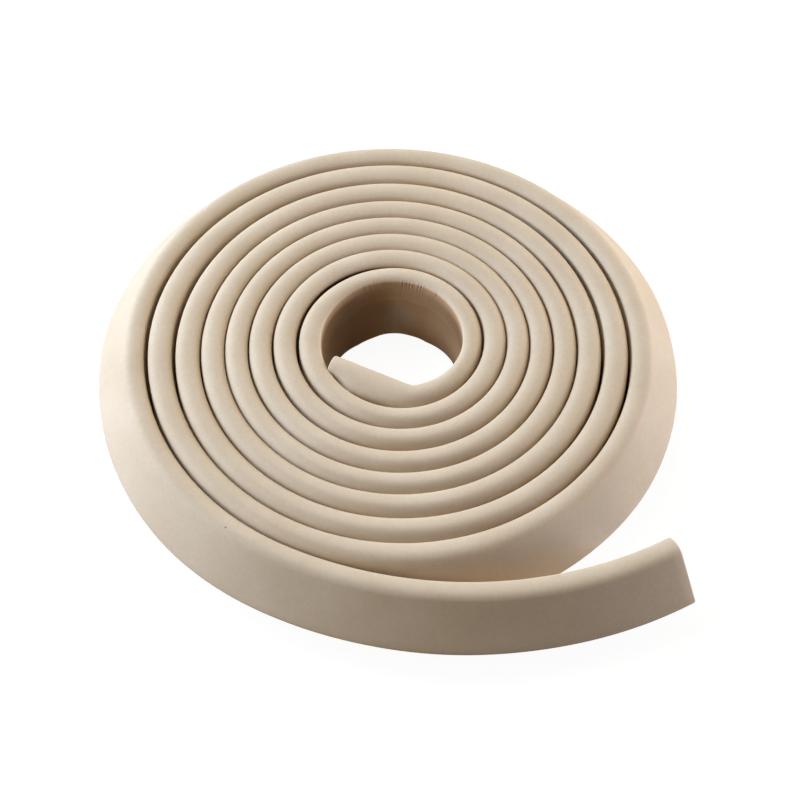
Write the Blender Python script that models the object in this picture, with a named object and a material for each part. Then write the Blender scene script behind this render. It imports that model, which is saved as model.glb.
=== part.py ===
"""Edge protector strip: one length of soft foam angle profile, wound into a flat coil.

The strip is an L-profile with a rounded outer corner. For packing it is folded
nearly shut, so that its corner makes a round ridge on top and its two legs stand
side by side below. It winds anticlockwise outwards from a straight inner end in the
hole, and its outer end peels away from the coil at the front as a long tail. Where
nothing holds a leg in, it springs open: the outer leg all along the outermost turn
and the tail, and the inner leg round the hole.

Metres, +Z up, standing on the lower edges of the upright legs.
"""

import bisect
import math

import bmesh
import bpy
from mathutils import Vector

# The foam profile, folded shut
LEG_HEIGHT = 0.0265          # from the ridge to the lower edge of an upright leg
LEG_THICKNESS = 0.0046
FOLD_SLIT = 0.00045          # air left between the two legs of a tightly folded turn
LEG_EDGE_ROUNDING = 0.0012   # on the lower edges of both legs

# The coil
FIRST_TURN_RADIUS = 0.0325   # ridge line at the right-hand side of the first turn
TURN_CLEARANCE = 0.00045     # air between neighbouring turns
TIGHT_TURNS = 4.8            # turns wound tight before the coil slackens
SLACK_PER_TURN = 0.0011      # added to the pitch of each turn after the tight ones
FULLER_RIDGE = 0.0007        # how much of that slack the fold takes up by opening
BULGE_TURNS = 5.9            # turns after which the left-hand side bulges out
LEFT_BULGE = 0.0016          # most that the ridge line bulges there
BULGE_ANGLE = 155.0          # direction of that side
BULGE_RAMP_TURNS = 0.8       # turns over which the bulge comes in
OVAL = 0.006                 # the coil is this share longer one way and shorter across it
OVAL_ANGLE = 120.0           # direction of its longer axis
FIRST_TURN_SHRINK = 0.0005   # the first turn stands off from the second by this much more

# The straight inner end in the hole
INNER_END_ANGLE = 210.0      # where the strip begins, in degrees from +X
STRAIGHT_DISTANCE = 0.0243   # from the coil's centre to the line of the straight end
STRAIGHT_ANGLE = 242.0       # direction of that line's normal
KINK_SOFTNESS = 0.0008       # rounds the kink between the straight end and the coil

# The tail at the outer end
TAIL_ANGLE = 3126.4          # where the tail leaves the coil, counted through all turns
TAIL_RADIUS = 0.1720         # bend of the tail
TAIL_LENGTH = 0.158

# How far the legs spring open, in degrees from upright
COIL_SPLAY = 39.0            # outer leg along the outermost turn
TAIL_SPLAY = 42.0            # outer leg along the tail
SPLAY_RISE = (3030.0, 3126.0)     # the splay goes from one to the other over these angles
HOLE_LEAN = 36.0             # inner leg at the back of the hole
HOLE_LEAN_RISE = (312.0, 450.0)   # the lean comes in over these angles
HOLE_LEAN_FALL = (488.0, 564.0)   # and goes out again before the inner end

# How finely the solid is made
COIL_STEP = 10.0             # degrees from one section to the next along the coil
INNER_STEP = 5.0             # the same along the straight inner end
INNER_STEP_UNTIL = 300.0
TAIL_SECTIONS = 12
RIDGE_SEGMENTS = 6
CREASE_SEGMENTS = 2
NEIGHBOUR_STEP = 2.0         # spacing in degrees of the points that measure the gaps
NEIGHBOUR_WINDOW = 40.0      # part of the next turn that is searched, either way

FOAM_COLOUR = (0.672, 0.552, 0.397, 1.0)
FOAM_ROUGHNESS = 0.72

FULL_TURN = 360.0
TURN_PITCH = 2.0 * LEG_THICKNESS + FOLD_SLIT + TURN_CLEARANCE


def smooth_step(value, low, high):
    """Goes softly from 0 at low to 1 at high."""
    share = min(max((value - low) / (high - low), 0.0), 1.0)
    return share * share * (3.0 - 2.0 * share)


def turns_past_first(angle):
    """Number of turns wound since the right-hand side of the first turn."""
    return angle / FULL_TURN - 1.0


def coil_radius(angle):
    """Radius of the ridge line of the wound coil at an angle counted through all turns."""
    turns = turns_past_first(angle)
    radius = FIRST_TURN_RADIUS + TURN_PITCH * turns
    radius += SLACK_PER_TURN * max(0.0, turns - TIGHT_TURNS)
    radius -= FIRST_TURN_SHRINK * (1.0 - smooth_step(turns, 0.5, 1.0))
    radius *= 1.0 + OVAL * math.cos(math.radians(2.0 * (angle - OVAL_ANGLE)))
    bulge = smooth_step(turns, BULGE_TURNS, BULGE_TURNS + BULGE_RAMP_TURNS)
    facing = max(0.0, math.cos(math.radians(angle - BULGE_ANGLE)))
    return radius + LEFT_BULGE * bulge * facing ** 4


def fold_slit(angle):
    """Air between the two legs: the fold opens a little in the slack turns."""
    slack = smooth_step(turns_past_first(angle), TIGHT_TURNS - 1.0, TIGHT_TURNS + 1.0)
    return FOLD_SLIT + FULLER_RIDGE * slack * (0.7 + 0.3 * math.sin(math.radians(angle)) ** 2)


def ridge_half_width(angle):
    """Radius of the rounded ridge, which is half the width of a folded turn."""
    return LEG_THICKNESS + fold_slit(angle) / 2.0


def ridge_radius_at(angle):
    """Coil radius, flattened to a straight line along the inner end."""
    wound = coil_radius(angle)
    away = math.radians(angle - STRAIGHT_ANGLE)
    if abs(away) >= math.pi / 3.0:
        return wound
    straight = STRAIGHT_DISTANCE / math.cos(away)
    return wound - KINK_SOFTNESS * math.log1p(math.exp((wound - straight) / KINK_SOFTNESS))


def coil_point(angle):
    """Point of the ridge line seen from above."""
    turn = math.radians(angle)
    return Vector((math.cos(turn), math.sin(turn))) * ridge_radius_at(angle)


def coil_heading(angle):
    """Direction in which the ridge line runs at an angle, in radians."""
    small = 0.05
    ahead = coil_point(angle + small) - coil_point(angle - small)
    return math.atan2(ahead.y, ahead.x)


def tail_point(distance):
    """Point and heading of the tail, an arc that leaves the coil along its own line."""
    start = coil_point(TAIL_ANGLE)
    heading = coil_heading(TAIL_ANGLE)
    end_heading = heading + distance / TAIL_RADIUS
    across = Vector((math.sin(end_heading) - math.sin(heading), math.cos(heading) - math.cos(end_heading)))
    return start + across * TAIL_RADIUS, end_heading


def turn_angle(point, near):
    """Angle of a point counted through all turns, for a point that lies near an angle."""
    plain = math.degrees(math.atan2(point.y, point.x))
    return plain + FULL_TURN * round((near - plain) / FULL_TURN)


def path_stations():
    """Angle, point and heading of each section from the inner end to the tail's end."""
    angles = []
    angle = INNER_END_ANGLE
    while angle < TAIL_ANGLE - COIL_STEP / 2.0:
        angles.append(angle)
        angle += INNER_STEP if angle < INNER_STEP_UNTIL else COIL_STEP
    stations = [(angle, coil_point(angle), coil_heading(angle)) for angle in angles]
    for number in range(TAIL_SECTIONS + 1):
        point, heading = tail_point(TAIL_LENGTH * number / TAIL_SECTIONS)
        stations.append((turn_angle(point, TAIL_ANGLE), point, heading))
    return stations


def neighbour_points(last_angle):
    """Closely spaced points of the whole ridge line, with their angles."""
    angles = []
    points = []
    angle = INNER_END_ANGLE
    while angle < TAIL_ANGLE:
        angles.append(angle)
        points.append(coil_point(angle))
        angle += NEIGHBOUR_STEP
    count = math.ceil((last_angle - TAIL_ANGLE) / NEIGHBOUR_STEP) * 2
    for number in range(count + 1):
        point, _ = tail_point(TAIL_LENGTH * number / count)
        angles.append(turn_angle(point, TAIL_ANGLE))
        points.append(point)
    return angles, points


def outer_splay(angle, point, angles, points):
    """How far the outer leg opens: until it meets the next turn, or to its free position."""
    free = COIL_SPLAY + (TAIL_SPLAY - COIL_SPLAY) * smooth_step(angle, *SPLAY_RISE)
    first = bisect.bisect_left(angles, angle + FULL_TURN - NEIGHBOUR_WINDOW)
    last = bisect.bisect_right(angles, angle + FULL_TURN + NEIGHBOUR_WINDOW)
    if first >= last:
        return free
    gaps = [(points[number] - point).length - ridge_half_width(angles[number]) for number in range(first, last)]
    own_half = ridge_half_width(angle)
    room = max(0.0, min(gaps) - own_half - TURN_CLEARANCE)
    return min(free, math.degrees(math.asin(min(1.0, room / (LEG_HEIGHT - own_half)))))


def hole_lean(angle):
    """How far the inner leg of the first turn leans into the hole."""
    return HOLE_LEAN * smooth_step(angle, *HOLE_LEAN_RISE) * (1.0 - smooth_step(angle, *HOLE_LEAN_FALL))


def leg_edge(side, opening, slit):
    """Lower end of one leg as (outward, height) points, from its outer face to its inner face.

    side is 1 for the outer leg and -1 for the inner one; opening is in degrees.
    """
    turn = math.radians(opening)
    down = Vector((side * math.sin(turn), -math.cos(turn)))
    out = Vector((side * math.cos(turn), math.sin(turn)))
    inner_face = slit / 2.0
    outer_face = inner_face + LEG_THICKNESS
    reach = LEG_HEIGHT - outer_face
    pivot = Vector((0.0, reach))
    return [
        pivot + down * (reach - LEG_EDGE_ROUNDING) + out * outer_face,
        pivot + down * reach + out * (outer_face - LEG_EDGE_ROUNDING),
        pivot + down * reach + out * (inner_face + LEG_EDGE_ROUNDING),
        pivot + down * (reach - LEG_EDGE_ROUNDING) + out * inner_face,
    ]


def arc(radius, height, first, last, segments):
    """Arc round the fold's pivot; angles in degrees, 0 outwards and 90 up."""
    points = []
    for number in range(segments + 1):
        turn = math.radians(first + (last - first) * number / segments)
        points.append(Vector((radius * math.cos(turn), height + radius * math.sin(turn))))
    return points


def section(splay, lean, slit):
    """Outline of the folded profile, anticlockwise from the outer leg's lower edge."""
    ridge_radius = LEG_THICKNESS + slit / 2.0
    pivot_height = LEG_HEIGHT - ridge_radius
    outline = leg_edge(1, splay, slit)[::-1]
    outline += arc(ridge_radius, pivot_height, splay, 180.0 - lean, RIDGE_SEGMENTS)
    outline += leg_edge(-1, lean, slit)
    outline += arc(slit / 2.0, pivot_height, 180.0 - lean, splay, CREASE_SEGMENTS)
    return outline


def make_strip(collection, material):
    """Lofts the changing section along the ridge line into one closed solid."""
    stations = path_stations()
    angles, points = neighbour_points(stations[-1][0])
    mesh = bpy.data.meshes.new("edge_strip")
    shape = bmesh.new()
    rings = []
    for angle, point, heading in stations:
        outward = Vector((math.sin(heading), -math.cos(heading)))
        splay = outer_splay(angle, point, angles, points)
        outline = section(splay, hole_lean(angle), fold_slit(angle))
        ring = []
        for offset, height in outline:
            place = point + outward * offset
            ring.append(shape.verts.new((place.x, place.y, height)))
        rings.append(ring)
    for ring, following in zip(rings, rings[1:]):
        for index in range(len(ring)):
            beside = (index + 1) % len(ring)
            shape.faces.new((ring[index], ring[beside], following[beside], following[index]))
    shape.faces.new(rings[0][::-1])
    shape.faces.new(rings[-1])
    bmesh.ops.recalc_face_normals(shape, faces=shape.faces)
    centre_on_footprint(shape)
    shape.to_mesh(mesh)
    shape.free()
    mesh.materials.append(material)
    mesh.shade_smooth()
    mesh.set_sharp_from_angle(angle=math.radians(40.0))
    strip = bpy.data.objects.new("edge_strip", mesh)
    collection.objects.link(strip)
    return strip


def centre_on_footprint(shape):
    """Moves the strip so that the middle of its footprint is at the origin."""
    across = [vert.co.x for vert in shape.verts]
    along = [vert.co.y for vert in shape.verts]
    middle = Vector(((min(across) + max(across)) / 2.0, (min(along) + max(along)) / 2.0, 0.0))
    bmesh.ops.translate(shape, vec=-middle, verts=shape.verts)


def foam_material():
    """Matte beige foam."""
    material = bpy.data.materials.new("foam")
    material.use_nodes = True
    shader = material.node_tree.nodes["Principled BSDF"]
    shader.inputs["Base Color"].default_value = FOAM_COLOUR
    shader.inputs["Roughness"].default_value = FOAM_ROUGHNESS
    shader.inputs["Metallic"].default_value = 0.0
    return material


def main():
    for leftover in list(bpy.data.objects):
        bpy.data.objects.remove(leftover, do_unlink=True)
    collection = bpy.data.collections.new("edge_protector_strip")
    bpy.context.scene.collection.children.link(collection)
    make_strip(collection, foam_material())


main()
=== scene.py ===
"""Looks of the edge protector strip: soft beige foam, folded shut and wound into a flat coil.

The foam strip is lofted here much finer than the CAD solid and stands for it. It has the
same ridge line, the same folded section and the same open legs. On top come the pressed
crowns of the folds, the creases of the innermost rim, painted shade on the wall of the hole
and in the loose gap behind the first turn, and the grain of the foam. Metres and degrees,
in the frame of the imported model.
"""

import bisect
import math

import bmesh
import bpy
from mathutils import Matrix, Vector


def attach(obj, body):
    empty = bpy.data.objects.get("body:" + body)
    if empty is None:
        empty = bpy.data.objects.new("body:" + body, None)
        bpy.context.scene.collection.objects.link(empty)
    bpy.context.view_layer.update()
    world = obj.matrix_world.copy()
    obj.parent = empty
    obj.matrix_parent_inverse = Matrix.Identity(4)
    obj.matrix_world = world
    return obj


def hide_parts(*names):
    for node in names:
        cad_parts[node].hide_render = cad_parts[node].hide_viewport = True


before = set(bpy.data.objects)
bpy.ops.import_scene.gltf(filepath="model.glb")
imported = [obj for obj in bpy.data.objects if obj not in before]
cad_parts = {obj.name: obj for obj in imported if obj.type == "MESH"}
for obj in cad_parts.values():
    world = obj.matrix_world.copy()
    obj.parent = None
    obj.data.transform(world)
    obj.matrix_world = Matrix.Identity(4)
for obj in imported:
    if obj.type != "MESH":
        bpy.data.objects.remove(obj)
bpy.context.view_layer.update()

# The folded foam profile
LEG_HEIGHT = 0.0265
LEG_THICKNESS = 0.0046
FOLD_SLIT = 0.00045
LEG_EDGE_ROUNDING = 0.0013

# The crown that neighbours press into an upright fold, in shares of half its width
CROWN_RADIUS = 1.35
INNER_CROWN_RADIUS = 1.55
CROWN_SHARPNESS = 24.0
CROWN_FALL = (12.0, 30.0)
FRONT_ROUNDNESS = 0.95
FRONT_SHOULDER = 0.05
FRONT_SHOULDER_FALL = (2.0, 10.0)
RIGHT_ROUNDNESS = 0.7

# The coil
FIRST_TURN_RADIUS = 0.0325
TURN_CLEARANCE = 0.00045
FOOT_PRESS = 0.0003
TIGHT_TURNS = 4.8
SLACK_PER_TURN = 0.0011
FULLER_RIDGE = 0.0007
FULLER_SIDES = 0.7
FULLER_LEFT = 0.0002
LAST_TURN = (6.7, 7.1)
LAST_TURN_SLIMMER = 0.0009
LAST_TURN_BULGE = 0.00045
BULGE_TURNS = 5.9
BULGE_RAMP_TURNS = 0.8
LEFT_BULGE = 0.0016
BULGE_ANGLE = 155.0
OVAL = 0.006
OVAL_ANGLE = 120.0
FIRST_TURN_SHRINK = 0.0005
FIRST_TURN_SHRINK_FALL = (0.5, 1.0)
MIDDLE_SHIFT = 0.0013
MIDDLE_SHIFT_ANGLE = 245.0
MIDDLE_SHIFT_RISE = (0.3, 3.2)
MIDDLE_SHIFT_FALL = (4.0, 8.2)
KINK_PUSH = 0.0006
KINK_PUSH_ANGLE = 635.0
KINK_PUSH_WIDTH = 40.0
LOOSE_GAP = 0.0008
LOOSE_GAP_ANGLE = 487.0
LOOSE_GAP_WIDTH = 36.0
PRESSED_SLIMMER = 0.0003

# The straight inner end in the hole
INNER_END_ANGLE = 207.3
INNER_END_SLANT = 0.06
INNER_END_SLANT_REACH = 0.012
INNER_END_SLANT_FALL = (290.0, 300.0)
INNER_END_FULLER = 0.0042
INNER_END_FULLER_FALL = (236.0, 308.0)
INNER_END_ROUND_FROM = 0.001
INNER_END_SPLAY = 9.0
INNER_END_SPLAY_RISE = (285.0, 320.0)
STRAIGHT_DISTANCE = 0.0242
STRAIGHT_ANGLE = 244.5
KINK_SOFTNESS = 0.0008

# The free outer end
TAIL_ANGLE = 3126.4
TAIL_RADIUS = 0.1720
TAIL_LENGTH = 0.158

# The legs that spring open
COIL_SPLAY = 39.0
TAIL_SPLAY = 42.0
SPLAY_RISE = (3030.0, 3126.0)
HOLE_LEAN = 31.0
HOLE_LEAN_RISE = (326.0, 440.0)
HOLE_LEAN_FALL = (465.0, 590.0)
HOLE_LEG_EXTRA = 0.0022
HOLE_SIDE_SLIMMER = 0.0015
HOLE_SIDE_ANGLE = 345.0
HOLE_SIDE_WIDTH = 50.0

# Slow waves of a leg that stands free: depth of all, then the share, rate and start of each
LEG_WAVE_DEPTH = 0.00022
LEG_WAVES = ((1.0, 3.1, 0.7), (0.7, 7.3, 2.1), (0.4, 13.7, 0.0))
LEG_WAVE_RISE = (14.0, 30.0)

# The faint line along the wall of the hole, measured down the leg
WALL_LINE_DEPTH = 0.0073
WALL_LINE_SWELL = 0.00025
WALL_LINE_WIDTH = 0.0006
WALL_LINE_RISE = (4.0, 16.0)
WALL_LINE_POINTS = (-0.0009, -0.0004, 0.0, 0.0004, 0.0009)

# Painted shade on the hole's wall: its start and end along the turn, its rim before the leg, in degrees
WALL_START = (285.0, 330.0)
WALL_END = (566.0, 610.0)
WALL_RIM = (16.0, 4.0)

# Painted shade on the hole's wall: at its top, less lower down and along its line, more at its sides, and
# its most
WALL_TOP_SHADE = 0.23
WALL_LOW = (0.004, 0.014)
WALL_LOW_LESS_SHADE = 0.15
WALL_LEFT_MORE_SHADE = 0.36
WALL_RIGHT_MORE_SHADE = 0.26
WALL_LINE_LESS_SHADE = 0.03
WALL_LINE_LESS_SHADE_WIDTH = 0.0004
WALL_DEEPEST_SHADE = 0.5

# Painted shade, nearly black, inside the loose gap behind the first turn, and where it ends on the folds
# beside it
GAP_PAINTED_SHADE = 1.0
GAP_OUTER_RIM = (6.0, 20.0)
GAP_INNER_RIM = (150.0, 166.0)

# Fineness of the loft
STATION_SPACING = 0.0048
WIDEST_STEP = 4.0
RIM_SPACING = 0.0003
TAIL_SECTIONS = 40
LEG_SEGMENTS = 9
RIDGE_SEGMENTS = 22
EDGE_SEGMENTS = 4
SLIT_SEGMENTS = 4
END_ROUNDING = 0.0008
END_STEPS = (0.3, 0.65, 1.0)
NEIGHBOUR_STEP = 1.0
NEIGHBOUR_WINDOW = 30.0
SHARP_EDGE = 50.0

# The short creases of the innermost rim: along the turn, and their place over the fold
CREASE_RISE = (396.0, 415.0)
CREASE_FALL = (486.0, 506.0)
CREASE_SPACING = 0.0010
CREASE_SCATTER = 0.7
CREASE_WIDTH = 0.17
CREASE_DEPTH = 0.00036
CREASE_PLACE = 146.0
CREASE_REACH = 15.0

# Noises of the foam, as scale, detail and roughness: broad tint, fine mottling, grain
BROAD_NOISE = (38.0, 3.0, 0.55)
FINE_NOISE = (620.0, 3.0, 0.6)
GRAIN_NOISE = (2100.0, 2.0, 0.6)

# Colours of the foam: the broad tints, and what each noise, the painted shade and the speck multiply them
# by
WHITE = (1, 1, 1, 1)
TINTS = ((0.30, (0.680, 0.543, 0.395, 1)), (0.70, (0.740, 0.606, 0.460, 1)))
MOTTLE = ((0.25, (0.93, 0.925, 0.915, 1)), (0.75, WHITE))
SPECKLE = ((0.25, (0.93, 0.93, 0.93, 1)), (0.70, WHITE))
# The painted shade, from plain foam to brown on the hole's wall and nearly black inside the loose gap
PAINTED_SHADES = (
    (0.0, WHITE),
    (0.225, (0.66, 0.50, 0.37, 1)),
    (0.5, (0.25, 0.18, 0.115, 1)),
    (1.0, (0.03, 0.02, 0.015, 1)),
)
SPECK = ((0.4, (0.1, 0.08, 0.06, 1)), (1.0, WHITE))
PAINTED_SHADE_LAYER = "shade"

# The one dark speck on the last turn
SPECK_PLACE = (-0.0619, -0.0865, 0.0264)
SPECK_RADIUS = 0.00042

# How the foam takes light, and the strength and depth of its two bumps
ROUGHNESS = 0.72
SPECULAR = 0.12
FINE_BUMP = (0.35, 0.00012)
GRAIN_BUMP = (0.5, 0.00005)

# The camera stands where the photograph was taken from
CAMERA_PITCH = 55.75
CAMERA_DISTANCE = 0.5289
CAMERA_AIM = (0.00153, -0.03331)
CAMERA_LENS = 57.87
SENSOR_WIDTH = 36.0
NEAR_CLIP = 0.01

# Softboxes: name, azimuth, elevation, width, height, level, colour
LAMP_DISTANCE = 1.3
LAMPS = (
    ("key_back_left", 154.0, 25.0, 0.6, 0.6, 1.08, (0.46, 0.68, 1.0)),
    ("key_left", 188.0, 18.0, 0.6, 0.6, 0.68, (1.0, 0.955, 0.92)),
    ("top_back", 112.0, 48.0, 0.6, 0.6, 0.41, (1.0, 0.90, 0.68)),
    ("right_back", 32.0, 22.0, 0.6, 0.6, 0.44, (1.0, 0.93, 0.75)),
    ("right_low", 6.0, 8.3, 0.9, 0.35, 0.86, (0.72, 0.79, 1.0)),
    ("front_right", 309.0, 8.3, 0.6, 0.35, 0.135, (1.0, 0.86, 0.66)),
)

# Floor and world: the floor lies a little under the foam
FLOOR_HALF = 4.0
FLOOR_HEIGHT = -0.0002
FLOOR_COLOUR = (0.12, 0.115, 0.11, 1)
FLOOR_GLOW = 0.94
WORLD_COLOUR = (1.0, 0.92, 0.84, 1)
WORLD_LEVEL = 0.03

FULL_TURN = 360.0
TURN_PITCH = 2.0 * LEG_THICKNESS + FOLD_SLIT + TURN_CLEARANCE


def smooth_step(value, low, high):
    """Goes softly from 0 at low to 1 at high."""
    share = min(max((value - low) / (high - low), 0.0), 1.0)
    return share * share * (3.0 - 2.0 * share)


def bump_at(value, centre, width):
    """A soft bump of height 1 at centre."""
    return math.exp(-(((value - centre) / width) ** 2))


def turns_past_first(angle):
    return angle / FULL_TURN - 1.0


def kink_share(angle):
    """1 where the kink of the inner end pushes on the next turn, 0 away from there."""
    return bump_at(angle, KINK_PUSH_ANGLE, KINK_PUSH_WIDTH)


def loose_share(angle):
    """1 in the middle of the first turn's loose gap, 0 away from there."""
    return bump_at(angle, LOOSE_GAP_ANGLE, LOOSE_GAP_WIDTH)


def coil_radius(angle):
    """Radius of the ridge line at an angle counted through all turns."""
    turns = turns_past_first(angle)
    radius = FIRST_TURN_RADIUS + TURN_PITCH * turns
    radius += SLACK_PER_TURN * max(0.0, turns - TIGHT_TURNS)
    radius -= FIRST_TURN_SHRINK * (1.0 - smooth_step(turns, *FIRST_TURN_SHRINK_FALL))
    radius *= 1.0 + OVAL * math.cos(math.radians(2.0 * (angle - OVAL_ANGLE)))
    bulge = LEFT_BULGE * smooth_step(turns, BULGE_TURNS, BULGE_TURNS + BULGE_RAMP_TURNS)
    bulge += LAST_TURN_BULGE * smooth_step(turns, *LAST_TURN)
    facing = max(0.0, math.cos(math.radians(angle - BULGE_ANGLE)))
    radius += bulge * facing**4
    shift = MIDDLE_SHIFT * smooth_step(turns, *MIDDLE_SHIFT_RISE)
    shift *= 1.0 - smooth_step(turns, *MIDDLE_SHIFT_FALL)
    radius += shift * math.cos(math.radians(angle - MIDDLE_SHIFT_ANGLE))
    return radius + KINK_PUSH * kink_share(angle) - LOOSE_GAP * loose_share(angle)


def fold_slit(angle):
    """Air between the two legs: more in the slack turns, less where the foam is pressed."""
    turns = turns_past_first(angle)
    slack = smooth_step(turns, TIGHT_TURNS - 1.0, TIGHT_TURNS + 1.0)
    left = max(0.0, -math.cos(math.radians(angle))) ** 2
    across = math.sin(math.radians(angle)) ** 2
    fuller = FULLER_RIDGE * (FULLER_SIDES + (1.0 - FULLER_SIDES) * across) + FULLER_LEFT * left
    slimmer = LAST_TURN_SLIMMER * left * smooth_step(turns, *LAST_TURN)
    slimmer += PRESSED_SLIMMER * (kink_share(angle) + loose_share(angle))
    return FOLD_SLIT + slack * fuller - slimmer


def ridge_half_width(angle):
    return LEG_THICKNESS + fold_slit(angle) / 2.0


def ridge_radius_at(angle):
    """Coil radius, flattened to a straight line along the inner end."""
    wound = coil_radius(angle)
    away = math.radians(angle - STRAIGHT_ANGLE)
    if abs(away) >= math.pi / 3.0:
        return wound
    straight = STRAIGHT_DISTANCE / math.cos(away)
    if away < 0.0:
        return straight
    return wound - KINK_SOFTNESS * math.log1p(math.exp((wound - straight) / KINK_SOFTNESS))


def coil_point(angle):
    turn = math.radians(angle)
    return Vector((math.cos(turn), math.sin(turn))) * ridge_radius_at(angle)


def coil_heading(angle):
    """Direction in which the ridge line runs, in radians."""
    small = 0.05
    ahead = coil_point(angle + small) - coil_point(angle - small)
    return math.atan2(ahead.y, ahead.x)


def tail_point(distance):
    """Point and heading of the tail, an arc that leaves the coil along its own line."""
    start = coil_point(TAIL_ANGLE)
    heading = coil_heading(TAIL_ANGLE)
    end_heading = heading + distance / TAIL_RADIUS
    along = math.sin(end_heading) - math.sin(heading)
    across = math.cos(heading) - math.cos(end_heading)
    return start + Vector((along, across)) * TAIL_RADIUS, end_heading


def turn_angle(point, near):
    """Angle of a point counted through all turns, for a point that lies near an angle."""
    plain = math.degrees(math.atan2(point.y, point.x))
    return plain + FULL_TURN * round((near - plain) / FULL_TURN)


def path_stations():
    """Angle, point and heading of each section, closest together along the wrinkled rim."""
    stations = []
    angle = INNER_END_ANGLE
    while angle < TAIL_ANGLE - 1.0:
        stations.append((angle, coil_point(angle), coil_heading(angle)))
        spacing = RIM_SPACING if CREASE_RISE[0] < angle < CREASE_FALL[1] else STATION_SPACING
        step = math.degrees(spacing / ridge_radius_at(angle))
        angle += min(step, WIDEST_STEP)
    for number in range(TAIL_SECTIONS + 1):
        point, heading = tail_point(TAIL_LENGTH * number / TAIL_SECTIONS)
        stations.append((turn_angle(point, TAIL_ANGLE), point, heading))
    return stations


def neighbour_points(last_angle):
    """Closely spaced points of the whole ridge line, with their angles."""
    angles = []
    points = []
    angle = INNER_END_ANGLE
    while angle < TAIL_ANGLE:
        angles.append(angle)
        points.append(coil_point(angle))
        angle += NEIGHBOUR_STEP
    count = math.ceil((last_angle - TAIL_ANGLE) / NEIGHBOUR_STEP) * 2
    for number in range(count + 1):
        point, _ = tail_point(TAIL_LENGTH * number / count)
        angles.append(turn_angle(point, TAIL_ANGLE))
        points.append(point)
    return angles, points


def outer_room(angle, point, angles, points):
    """Air between the ridge and the next turn, or None where no turn follows."""
    first = bisect.bisect_left(angles, angle + FULL_TURN - NEIGHBOUR_WINDOW)
    last = bisect.bisect_right(angles, angle + FULL_TURN + NEIGHBOUR_WINDOW)
    if first >= last:
        return None
    gaps = []
    for number in range(first, last):
        gaps.append((points[number] - point).length - ridge_half_width(angles[number]))
    return max(0.0, min(gaps) - ridge_half_width(angle) + FOOT_PRESS)


def outer_splay(angle, room, fuller):
    """How far the outer leg opens: until it meets the next turn, or to its free position."""
    free = COIL_SPLAY + (TAIL_SPLAY - COIL_SPLAY) * smooth_step(angle, *SPLAY_RISE)
    free = INNER_END_SPLAY + (free - INNER_END_SPLAY) * smooth_step(angle, *INNER_END_SPLAY_RISE)
    if room is None:
        return free
    reach = LEG_HEIGHT - ridge_half_width(angle)
    return min(free, math.degrees(math.asin(min(1.0, max(0.0, room - fuller) / reach))))


def end_fullness(angle, room):
    """Extra foam on the outer side of the inner end, which rests against the next turn."""
    if room is None:
        return 0.0
    return min(INNER_END_FULLER, room) * (1.0 - smooth_step(angle, *INNER_END_FULLER_FALL))


def hole_side_slimmer(angle):
    """How much thinner the foam is pressed on the hole's right side."""
    return HOLE_SIDE_SLIMMER * bump_at(angle, HOLE_SIDE_ANGLE, HOLE_SIDE_WIDTH)


def hole_lean(angle):
    """How far the inner leg of the first turn leans into the hole."""
    lean = HOLE_LEAN * smooth_step(angle, *HOLE_LEAN_RISE)
    return lean * (1.0 - smooth_step(angle, *HOLE_LEAN_FALL))


def ridge_shape(turn, splay, lean, angle, fuller):
    """Radius of the fold as a share of its half width, at an angle from outwards through up.

    Neighbours press an upright fold into a wide crown with flat sides. An open one is round,
    and so is the outer side at the front, on the right and along the free inner end.
    """
    outer_side = turn < 90.0
    front = max(0.0, -math.sin(math.radians(angle)))
    right = max(0.0, math.cos(math.radians(angle)))
    opening = splay if outer_side else lean
    pressed = 1.0 - smooth_step(opening, *CROWN_FALL)
    if outer_side:
        pressed *= 1.0 - FRONT_ROUNDNESS * front
        pressed *= 1.0 - RIGHT_ROUNDNESS * right
        pressed *= 1.0 - min(1.0, fuller / INNER_END_ROUND_FROM)
    from_side = turn if outer_side else 180.0 - turn
    sweep = math.radians(max(0.5, 90.0 * (from_side - opening) / (90.0 - opening)))
    crown_radius = CROWN_RADIUS if outer_side else INNER_CROWN_RADIUS
    extra = crown_radius - 1.0
    crown = math.sqrt(crown_radius**2 - extra**2 * math.cos(sweep) ** 2) - extra * math.sin(sweep)
    side = 1.0 / max(math.cos(sweep), 0.01)
    shape = (crown**-CROWN_SHARPNESS + side**-CROWN_SHARPNESS) ** (-1.0 / CROWN_SHARPNESS)
    shape = 1.0 + pressed * (shape - 1.0)
    if outer_side:
        front *= 1.0 - smooth_step(splay, *FRONT_SHOULDER_FALL)
        shape -= FRONT_SHOULDER * front * math.sin(math.radians(2.0 * turn)) ** 2
    return shape


def scatter(number, salt):
    """An even spread of values from 0 to 1, the same for the same number."""
    value = math.sin(12.9898 * number + salt) * 43758.5453
    return value - math.floor(value)


def rim_crease(angle):
    """Depth of the uneven short creases where the foam is pressed together along the inner rim."""
    along = math.radians(angle) * FIRST_TURN_RADIUS / CREASE_SPACING
    depth = 0.0
    for number in range(math.floor(along) - 1, math.floor(along) + 3):
        centre = number + CREASE_SCATTER * (scatter(number, 0.3) - 0.5)
        depth += scatter(number, 1.9) ** 2 * bump_at(along, centre, CREASE_WIDTH)
    reach = smooth_step(angle, *CREASE_RISE) * (1.0 - smooth_step(angle, *CREASE_FALL))
    return CREASE_DEPTH * depth * reach


def leg_wave(angle, share):
    """Slow unevenness of a free leg, at a share of the way down."""
    turn = math.radians(angle)
    wave = sum(size * math.sin(rate * turn + start) for size, rate, start in LEG_WAVES)
    return LEG_WAVE_DEPTH * wave * share * share


def leg_depths(deepest, side):
    """Depths of the points down a leg, from its edge up, close together at the wall's line."""
    depths = [deepest * (1.0 - number / LEG_SEGMENTS) for number in range(LEG_SEGMENTS + 1)]
    if side < 0:
        depths += [WALL_LINE_DEPTH + offset for offset in WALL_LINE_POINTS]
    return sorted(depths, reverse=True)


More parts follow.
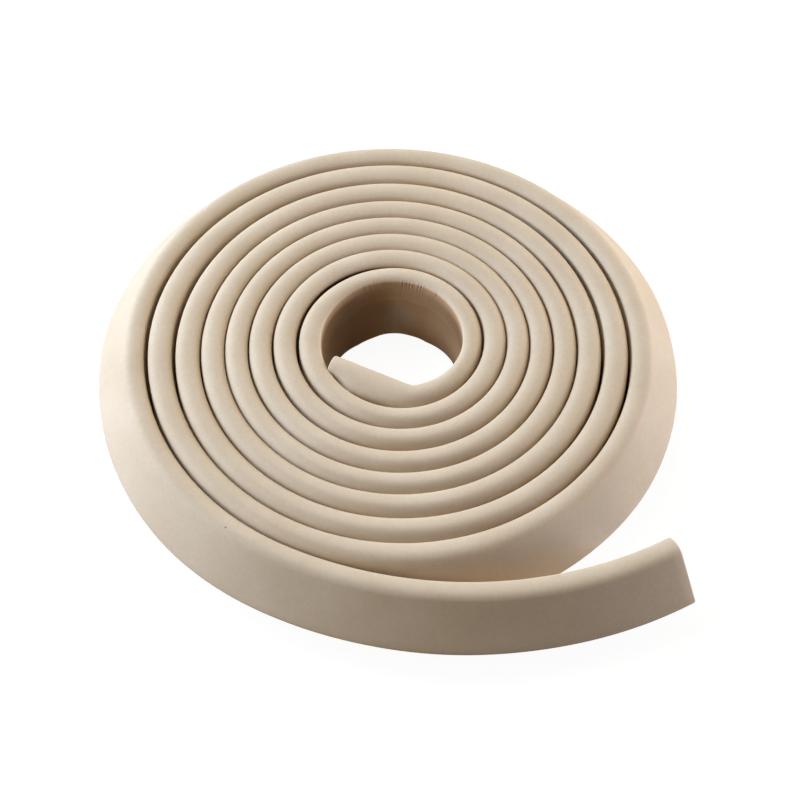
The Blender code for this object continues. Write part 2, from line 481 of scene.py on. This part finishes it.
def half_outline(side, opening, slit, angle, fuller):
    """Outer face and inner face of one leg, from the edge up, as (outward, height) points.

    side is 1 for the outer leg and -1 for the inner one; opening is in degrees. A leaning inner
    leg has less foam in its fold and so reaches further, down to the floor at most.
    """
    turn = math.radians(opening)
    down = Vector((side * math.sin(turn), -math.cos(turn)))
    out = Vector((side * math.cos(turn), math.sin(turn)))
    inner_face = slit / 2.0
    outer_face = inner_face + LEG_THICKNESS
    pivot = Vector((0.0, LEG_HEIGHT - inner_face - LEG_THICKNESS))
    reach = pivot.y
    line_swell = 0.0
    if side > 0:
        outer_face += fuller
    else:
        outer_face -= hole_side_slimmer(angle)
        reach += min(HOLE_LEG_EXTRA, pivot.y * (1.0 / math.cos(turn) - 1.0))
        line_swell = WALL_LINE_SWELL * smooth_step(opening, *WALL_LINE_RISE)
    rounding = LEG_EDGE_ROUNDING
    free = out * smooth_step(opening, *LEG_WAVE_RISE)
    edge = []
    for corner, start in ((inner_face + rounding, 180.0), (outer_face - rounding, 270.0)):
        centre = pivot + down * (reach - rounding) + out * corner + free * leg_wave(angle, 1.0)
        for number in range(EDGE_SEGMENTS + 1):
            sweep = math.radians(start + 90.0 * number / EDGE_SEGMENTS)
            edge.append(centre + (out * math.cos(sweep) - down * math.sin(sweep)) * rounding)
    outer = []
    inner = []
    depths = leg_depths(reach - rounding, side)
    for number, depth in enumerate(depths):
        place = pivot + down * depth + free * leg_wave(angle, 1.0 - number / (len(depths) - 1))
        swell = line_swell * bump_at(depth, WALL_LINE_DEPTH, WALL_LINE_WIDTH)
        outer.append(place + out * (outer_face + swell))
        inner.append(place + out * inner_face)
    return edge, outer, inner


def section(splay, lean, slit, angle, fuller):
    """Closed outline of the folded profile, anticlockwise from the outer leg's lower edge.

    Each point comes with its painted shade: 0 for plain foam, up to 0.5 for the brown painted
    shade on the wall of the hole, and 1 for the nearly black painted shade inside the loose gap.
    """
    ridge_radius = LEG_THICKNESS + slit / 2.0
    pivot_height = LEG_HEIGHT - ridge_radius
    edge_a, outer_a, inner_a = half_outline(1, splay, slit, angle, fuller)
    edge_b, outer_b, inner_b = half_outline(-1, lean, slit, angle, fuller)
    # Painted shade: brown on the hole's wall, nearly black inside the loose gap
    wall = smooth_step(angle, *WALL_START) * (1.0 - smooth_step(angle, *WALL_END))
    gap_outside = GAP_PAINTED_SHADE * loose_share(angle)
    gap_inside = GAP_PAINTED_SHADE * loose_share(angle - FULL_TURN)
    outline = edge_a[:-1] + outer_a[:-1]
    shades = [gap_outside] * len(outline)
    crease_depth = rim_crease(angle)
    leg_start = 180.0 - lean
    for number in range(RIDGE_SEGMENTS + 1):
        turn = splay + (leg_start - splay) * number / RIDGE_SEGMENTS
        radius = ridge_radius * ridge_shape(turn, splay, lean, angle, fuller)
        radius -= crease_depth * bump_at(turn, CREASE_PLACE, CREASE_REACH)
        sweep = math.radians(turn)
        across = radius * math.cos(sweep) + fuller * max(0.0, math.cos(sweep))
        across += hole_side_slimmer(angle) * max(0.0, -math.cos(sweep))
        outline.append(Vector((across, pivot_height + radius * math.sin(sweep))))
        # Painted shade over the ridge: nearly black at the loose gap, brown over the rim of the hole's
        # wall
        shade = gap_outside * (1.0 - smooth_step(turn, *GAP_OUTER_RIM))
        shade += gap_inside * smooth_step(turn, *GAP_INNER_RIM)
        shade += wall * WALL_TOP_SHADE * smooth_step(turn, leg_start - WALL_RIM[0], leg_start - WALL_RIM[1])
        shades.append(shade)
    right = math.cos(math.radians(angle))
    sides = WALL_RIGHT_MORE_SHADE * max(0.0, right) + WALL_LEFT_MORE_SHADE * max(0.0, -right)
    # Painted shade down the hole's wall: less lower down and along its line, more at its sides
    for depth in leg_depths(pivot_height - LEG_EDGE_ROUNDING, -1)[::-1][1:]:
        less_shade = WALL_LINE_LESS_SHADE * bump_at(depth, WALL_LINE_DEPTH, WALL_LINE_LESS_SHADE_WIDTH)
        less_shade += WALL_LOW_LESS_SHADE * smooth_step(depth, *WALL_LOW)
        shades.append(wall * min(WALL_DEEPEST_SHADE, WALL_TOP_SHADE + sides - less_shade) + gap_inside)
    outline += outer_b[::-1][1:] + edge_b[::-1][1:]
    shades += [shades[-1]] * (len(outline) - len(shades))
    outline += inner_b[1:-1]
    for number in range(SLIT_SEGMENTS + 1):
        turn = math.radians(leg_start + (splay - leg_start) * number / SLIT_SEGMENTS)
        outline.append(Vector((math.cos(turn) * slit / 2.0, pivot_height + math.sin(turn) * slit / 2.0)))
    outline += inner_a[::-1][1:]
    shades += [0.0] * (len(outline) - len(shades))
    return outline, shades


def shrunk(outline, amount):
    """The outline drawn in by an amount, for the soft corner of a cut end."""
    result = []
    count = len(outline)
    for number, point in enumerate(outline):
        before = outline[number - 1]
        after = outline[(number + 1) % count]
        along = (after - before).normalized()
        result.append(point - Vector((along.y, -along.x)) * amount)
    return result


def add_ring(shape, outline, shades, point, heading, slant=0.0):
    """Adds the points of one section, which may lean along the strip by a slant."""
    along = Vector((math.cos(heading), math.sin(heading)))
    outward = Vector((math.sin(heading), -math.cos(heading)))
    painted_shade_layer = shape.verts.layers.float[PAINTED_SHADE_LAYER]
    ring = []
    for (offset, height), shade in zip(outline, shades):
        place = point + (outward + along * slant) * offset
        vert = shape.verts.new((place.x, place.y, height))
        vert[painted_shade_layer] = shade
        ring.append(vert)
    return ring


def end_rings(shape, outline, shades, point, heading, outwards, slant=0.0):
    """Rings that round off a cut end, from the full outline to the face of the end."""
    along = Vector((math.cos(heading), math.sin(heading)))
    rings = []
    for step in END_STEPS:
        place = point + along * outwards * END_ROUNDING * math.sin(step * math.pi / 2.0)
        inset = END_ROUNDING * (1.0 - math.cos(step * math.pi / 2.0))
        rings.append(add_ring(shape, shrunk(outline, inset), shades, place, heading, slant))
    return rings


def make_strip():
    """Lofts the changing section along the ridge line into one closed piece, centred on the origin.

    Gives the piece and where the coil's own centre comes to lie.
    """
    stations = path_stations()
    angles, points = neighbour_points(stations[-1][0])
    shape = bmesh.new()
    shape.verts.layers.float.new(PAINTED_SHADE_LAYER)
    rings = []
    for number, (angle, point, heading) in enumerate(stations):
        room = outer_room(angle, point, angles, points)
        fuller = end_fullness(angle, room)
        splay = outer_splay(angle, room, fuller)
        outline, shades = section(splay, hole_lean(angle), fold_slit(angle), angle, fuller)
        from_start = (point - stations[0][1]).length
        slant = INNER_END_SLANT * max(0.0, 1.0 - from_start / INNER_END_SLANT_REACH)
        slant *= 1.0 - smooth_step(angle, *INNER_END_SLANT_FALL)
        if number == 0:
            rings += end_rings(shape, outline, shades, point, heading, -1.0, slant)[::-1]
        rings.append(add_ring(shape, outline, shades, point, heading, slant))
        if number == len(stations) - 1:
            rings += end_rings(shape, outline, shades, point, heading, 1.0)
    for ring, following in zip(rings, rings[1:]):
        for index in range(len(ring)):
            beside = (index + 1) % len(ring)
            shape.faces.new((ring[index], ring[beside], following[beside], following[index]))
    caps = [shape.faces.new(rings[0][::-1]), shape.faces.new(rings[-1])]
    bmesh.ops.triangulate(shape, faces=caps)
    bmesh.ops.recalc_face_normals(shape, faces=shape.faces)
    xs = [vert.co.x for vert in shape.verts]
    ys = [vert.co.y for vert in shape.verts]
    middle = Vector(((min(xs) + max(xs)) / 2.0, (min(ys) + max(ys)) / 2.0, 0.0))
    bmesh.ops.translate(shape, vec=-middle, verts=shape.verts)
    mesh = bpy.data.meshes.new("foam_strip")
    shape.to_mesh(mesh)
    shape.free()
    mesh.shade_smooth()
    mesh.set_sharp_from_angle(angle=math.radians(SHARP_EDGE))
    strip = bpy.data.objects.new("foam_strip", mesh)
    bpy.context.scene.collection.objects.link(strip)
    return strip, -middle


def new_material(name):
    material = bpy.data.materials.new(name)
    material.use_nodes = True
    return material, material.node_tree.nodes, material.node_tree.links


def noise(nodes, links, place, kind):
    """A noise by its scale, detail and roughness."""
    node = nodes.new("ShaderNodeTexNoise")
    for name, value in zip(("Scale", "Detail", "Roughness"), kind):
        node.inputs[name].default_value = value
    links.new(place, node.inputs["Vector"])
    return node.outputs["Fac"]


def ramp(nodes, links, value, stops):
    node = nodes.new("ShaderNodeValToRGB")
    while len(node.color_ramp.elements) < len(stops):
        node.color_ramp.elements.new(0.5)
    for element, (position, colour) in zip(node.color_ramp.elements, stops):
        element.position = position
        element.color = colour
    links.new(value, node.inputs["Fac"])
    return node.outputs["Color"]


def multiplied(nodes, links, first, second):
    node = nodes.new("ShaderNodeMix")
    node.data_type = "RGBA"
    node.blend_type = "MULTIPLY"
    node.inputs["Factor"].default_value = 1.0
    links.new(first, node.inputs["A"])
    links.new(second, node.inputs["B"])
    return node.outputs["Result"]


def bump(nodes, links, height, kind):
    """A bump by its strength and depth."""
    node = nodes.new("ShaderNodeBump")
    node.inputs["Strength"].default_value = kind[0]
    node.inputs["Distance"].default_value = kind[1]
    links.new(height, node.inputs["Height"])
    return node


def near_speck(nodes, links, place):
    """Goes from 0 at the middle of the speck to 1 at its edge."""
    apart = nodes.new("ShaderNodeVectorMath")
    apart.operation = "DISTANCE"
    apart.inputs[1].default_value = SPECK_PLACE
    links.new(place, apart.inputs[0])
    share = nodes.new("ShaderNodeMapRange")
    share.inputs["From Max"].default_value = SPECK_RADIUS
    links.new(apart.outputs["Value"], share.inputs["Value"])
    return share.outputs["Result"]


def foam_material():
    """Matte closed-cell foam: soft mottling, fine grain and tiny pores, with painted shade on top."""
    material, nodes, links = new_material("foam_look")
    shader = nodes["Principled BSDF"]
    place = nodes.new("ShaderNodeTexCoord").outputs["Object"]
    broad = noise(nodes, links, place, BROAD_NOISE)
    fine = noise(nodes, links, place, FINE_NOISE)
    grain = noise(nodes, links, place, GRAIN_NOISE)
    shade = nodes.new("ShaderNodeAttribute")
    shade.attribute_name = PAINTED_SHADE_LAYER
    speck = near_speck(nodes, links, place)
    colour = ramp(nodes, links, broad, TINTS)
    for value, stops in ((fine, MOTTLE), (grain, SPECKLE), (shade.outputs["Fac"], PAINTED_SHADES), (speck, SPECK)):
        colour = multiplied(nodes, links, colour, ramp(nodes, links, value, stops))
    links.new(colour, shader.inputs["Base Color"])
    shader.inputs["Roughness"].default_value = ROUGHNESS
    shader.inputs["Specular IOR Level"].default_value = SPECULAR
    bump_fine = bump(nodes, links, fine, FINE_BUMP)
    bump_grain = bump(nodes, links, grain, GRAIN_BUMP)
    links.new(bump_fine.outputs["Normal"], bump_grain.inputs["Normal"])
    links.new(bump_grain.outputs["Normal"], shader.inputs["Normal"])
    return material


def add_camera(coil_centre):
    pitch = math.radians(CAMERA_PITCH)
    data = bpy.data.cameras.new("camera")
    data.sensor_width = SENSOR_WIDTH
    data.lens = CAMERA_LENS
    data.clip_start = NEAR_CLIP
    camera = bpy.data.objects.new("camera", data)
    aim = Vector((CAMERA_AIM[0], CAMERA_AIM[1], LEG_HEIGHT)) + coil_centre
    camera.location = aim + Vector((0.0, -math.cos(pitch), math.sin(pitch))) * CAMERA_DISTANCE
    camera.rotation_euler = (math.pi / 2.0 - pitch, 0.0, 0.0)
    bpy.context.scene.collection.objects.link(camera)
    bpy.context.scene.camera = camera


def add_softbox(name, azimuth, elevation, width, height, level, colour):
    """An area lamp that lights a facing surface to level times its own colour."""
    data = bpy.data.lights.new(name, "AREA")
    data.shape = "RECTANGLE"
    data.size = width
    data.size_y = height
    data.energy = level * math.pi**2 * LAMP_DISTANCE**2
    data.color = colour
    lamp = bpy.data.objects.new(name, data)
    flat = math.radians(azimuth)
    high = math.radians(elevation)
    towards = Vector((math.cos(flat) * math.cos(high), math.sin(flat) * math.cos(high), math.sin(high)))
    lamp.location = towards * LAMP_DISTANCE
    lamp.rotation_euler = towards.to_track_quat("Z", "Y").to_euler()
    bpy.context.scene.collection.objects.link(lamp)


def seen_share(nodes, links):
    """1 for what the camera, reflections and clear things see, and 0 for plain light."""
    path = nodes.new("ShaderNodeLightPath")
    seen = path.outputs["Is Camera Ray"]
    for name in ("Is Glossy Ray", "Is Transmission Ray"):
        either = nodes.new("ShaderNodeMath")
        either.operation = "MAXIMUM"
        links.new(seen, either.inputs[0])
        links.new(path.outputs[name], either.inputs[1])
        seen = either.outputs[0]
    return seen


def shown_white(nodes, links, plain):
    """Adds white to what the camera, reflections and clear things see of the floor."""
    glow = nodes.new("ShaderNodeEmission")
    glow.inputs["Strength"].default_value = FLOOR_GLOW
    both = nodes.new("ShaderNodeAddShader")
    links.new(plain, both.inputs[0])
    links.new(glow.outputs[0], both.inputs[1])
    choice = nodes.new("ShaderNodeMixShader")
    links.new(seen_share(nodes, links), choice.inputs[0])
    links.new(plain, choice.inputs[1])
    links.new(both.outputs[0], choice.inputs[2])
    return choice.outputs[0]


def add_floor():
    corners = [(x * FLOOR_HALF, y * FLOOR_HALF, 0) for x, y in ((-1, -1), (1, -1), (1, 1), (-1, 1))]
    mesh = bpy.data.meshes.new("floor")
    mesh.from_pydata(corners, [], [(0, 1, 2, 3)])
    floor = bpy.data.objects.new("floor", mesh)
    floor.location.z = FLOOR_HEIGHT
    bpy.context.scene.collection.objects.link(floor)
    material, nodes, links = new_material("floor_look")
    nodes.remove(nodes["Principled BSDF"])
    matte = nodes.new("ShaderNodeBsdfDiffuse")
    matte.inputs["Color"].default_value = FLOOR_COLOUR
    links.new(shown_white(nodes, links, matte.outputs[0]), nodes["Material Output"].inputs["Surface"])
    mesh.materials.append(material)


def add_world():
    world = bpy.data.worlds.new("world")
    bpy.context.scene.world = world
    world.use_nodes = True
    nodes = world.node_tree.nodes
    links = world.node_tree.links
    background = nodes["Background"]
    background.inputs["Color"].default_value = WORLD_COLOUR
    background.inputs["Strength"].default_value = WORLD_LEVEL
    white = nodes.new("ShaderNodeBackground")
    white.inputs["Color"].default_value = WHITE
    choice = nodes.new("ShaderNodeMixShader")
    links.new(seen_share(nodes, links), choice.inputs[0])
    links.new(background.outputs[0], choice.inputs[1])
    links.new(white.outputs[0], choice.inputs[2])
    links.new(choice.outputs[0], nodes["World Output"].inputs["Surface"])


strip, coil_centre = make_strip()
strip.data.materials.append(foam_material())
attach(strip, "root")
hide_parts("edge_strip")
add_camera(coil_centre)
for lamp in LAMPS:
    add_softbox(*lamp)
add_floor()
add_world()
bpy.context.scene.view_settings.view_transform = "Standard"
